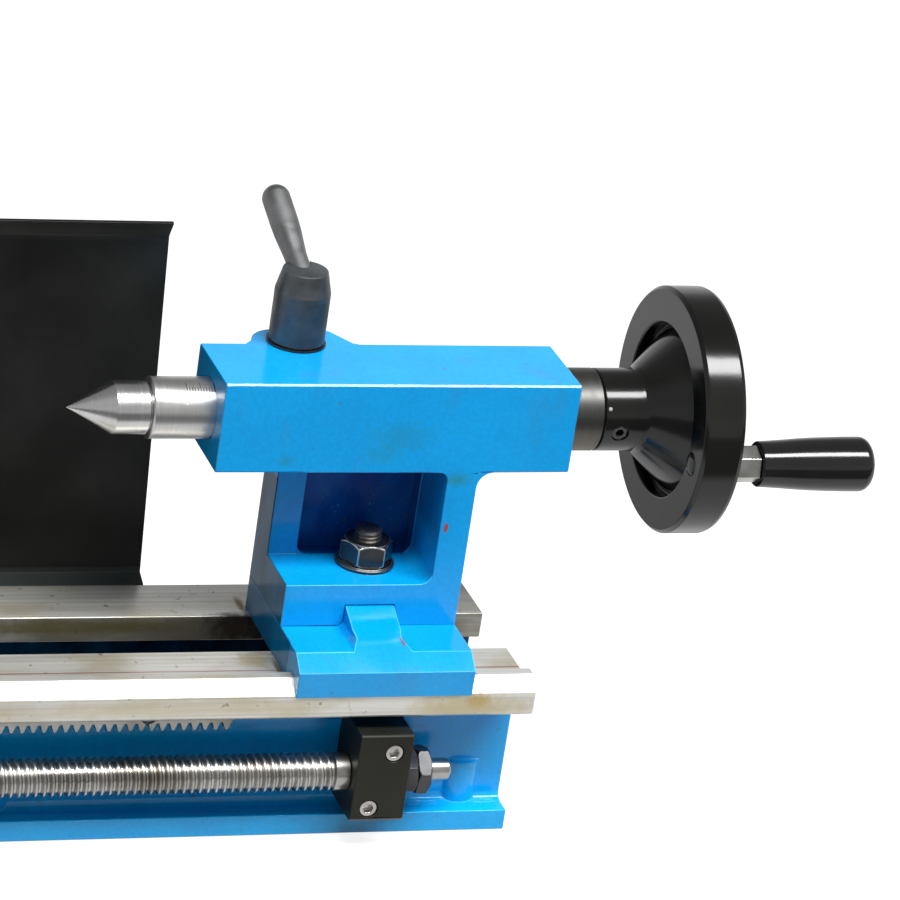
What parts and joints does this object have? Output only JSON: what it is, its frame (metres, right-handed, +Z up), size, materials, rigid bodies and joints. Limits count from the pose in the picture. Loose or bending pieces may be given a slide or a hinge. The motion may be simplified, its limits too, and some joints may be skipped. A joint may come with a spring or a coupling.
{
  "type": "lathe tailstock on bed section",
  "caption": "Tailstock end of a small lathe: cast tailstock with quill, dead centre, lock lever and dished handwheel on a prismatic bed with rack, leadscrew and splash guard.",
  "frame": {"origin": "middle of the bed section's underside", "axes": "+X along the bed from the dead centre to the handwheel, +Y to the back of the lathe, +Z up"},
  "size_m": [0.3253, 0.1073, 0.2162],
  "materials": {
    "painted_casting": "blue gloss enamel over cast iron, bare ground ways",
    "bare_steel": "machined, bare",
    "bright_steel": "finely turned and ground",
    "black_steel": "black oxide",
    "grey_steel": "worn grey oxide",
    "black_iron": "gloss black",
    "black_paint": "satin black on sheet steel",
    "black_grip": "gloss black moulded grip",
    "bronze": "machined"
  },
  "bodies": {
    "bed": {"bed_casting": "painted_casting", "rack": "bare_steel", "rack_screws": "black_steel", "leadscrew_bracket": "black_iron", "bracket_screws": "bare_steel", "splash_guard": "black_paint", "guard_screws": "bare_steel"},
    "screw": {"leadscrew": "bare_steel", "leadscrew_nuts": "black_steel"},
    "base": {"tailstock_base": "painted_casting", "clamp_stud": "black_steel", "clamp_plate": "black_iron", "clamp_washer": "black_steel", "set_over_screw": "black_steel"},
    "nut": {"clamp_nut": "black_steel"},
    "tailstock": {"tailstock_body": "painted_casting", "body_screws": "black_steel", "bearing_flange": "bright_steel", "flange_screw": "black_steel", "quill_guide_screw": "black_steel", "upper_cotter": "bare_steel", "lower_cotter": "bare_steel", "lock_washer": "black_steel", "lock_stud": "bare_steel", "thrust_washer": "bronze"},
    "lever": {"lock_hub": "black_steel", "lock_arm": "grey_steel"},
    "quill_group": {"quill": "bright_steel", "quill_nut": "bronze", "dead_centre": "bright_steel"},
    "wheel": {"feed_screw": "bare_steel", "handwheel": "black_iron", "hub_set_screw": "black_steel", "handle_spindle": "bare_steel"},
    "grip": {"handle_grip": "black_grip"}
  },
  "joints": [
    {"name": "leadscrew_turn", "type": "hinge", "parent": "bed", "child": "screw", "pos_m": [0, -0.0365, 0.027], "axis": [1, 0, 0], "continuous": true},
    {"name": "tailstock_slide", "type": "slide", "parent": "bed", "child": "base", "axis": [1, 0, 0], "range_m": [-0.024, 0.024]},
    {"name": "clamp_nut_turn", "type": "hinge", "parent": "base", "child": "nut", "pos_m": [0.048, 0.00075, 0.098], "axis": [0, 0, 1], "range_deg": [0, 90]},
    {"name": "set_over", "type": "slide", "parent": "base", "child": "tailstock", "axis": [0, 1, 0], "range_m": [-0.004, 0.004]},
    {"name": "lock_turn", "type": "hinge", "parent": "tailstock", "child": "lever", "pos_m": [0.0173, 0.02025, 0.153], "axis": [0, 0, 1], "range_deg": [-80, 15]},
    {"name": "quill_slide", "type": "slide", "parent": "tailstock", "child": "quill_group", "axis": [-1, 0, 0], "range_m": [-0.0151, 0.0351]},
    {"name": "handwheel_turn", "type": "hinge", "parent": "tailstock", "child": "wheel", "pos_m": [0.15, 0.00075, 0.153], "axis": [-1, 0, 0], "range_deg": [-2700, 6300]},
    {"name": "grip_turn", "type": "hinge", "parent": "wheel", "child": "grip", "pos_m": [0.19, -0.03421, 0.14746], "axis": [1, 0, 0], "continuous": true}
  ],
  "couplings": [
    {"joint": "quill_slide", "follows": "handwheel_turn", "m_per_rad": 0.00031831}
  ]
}
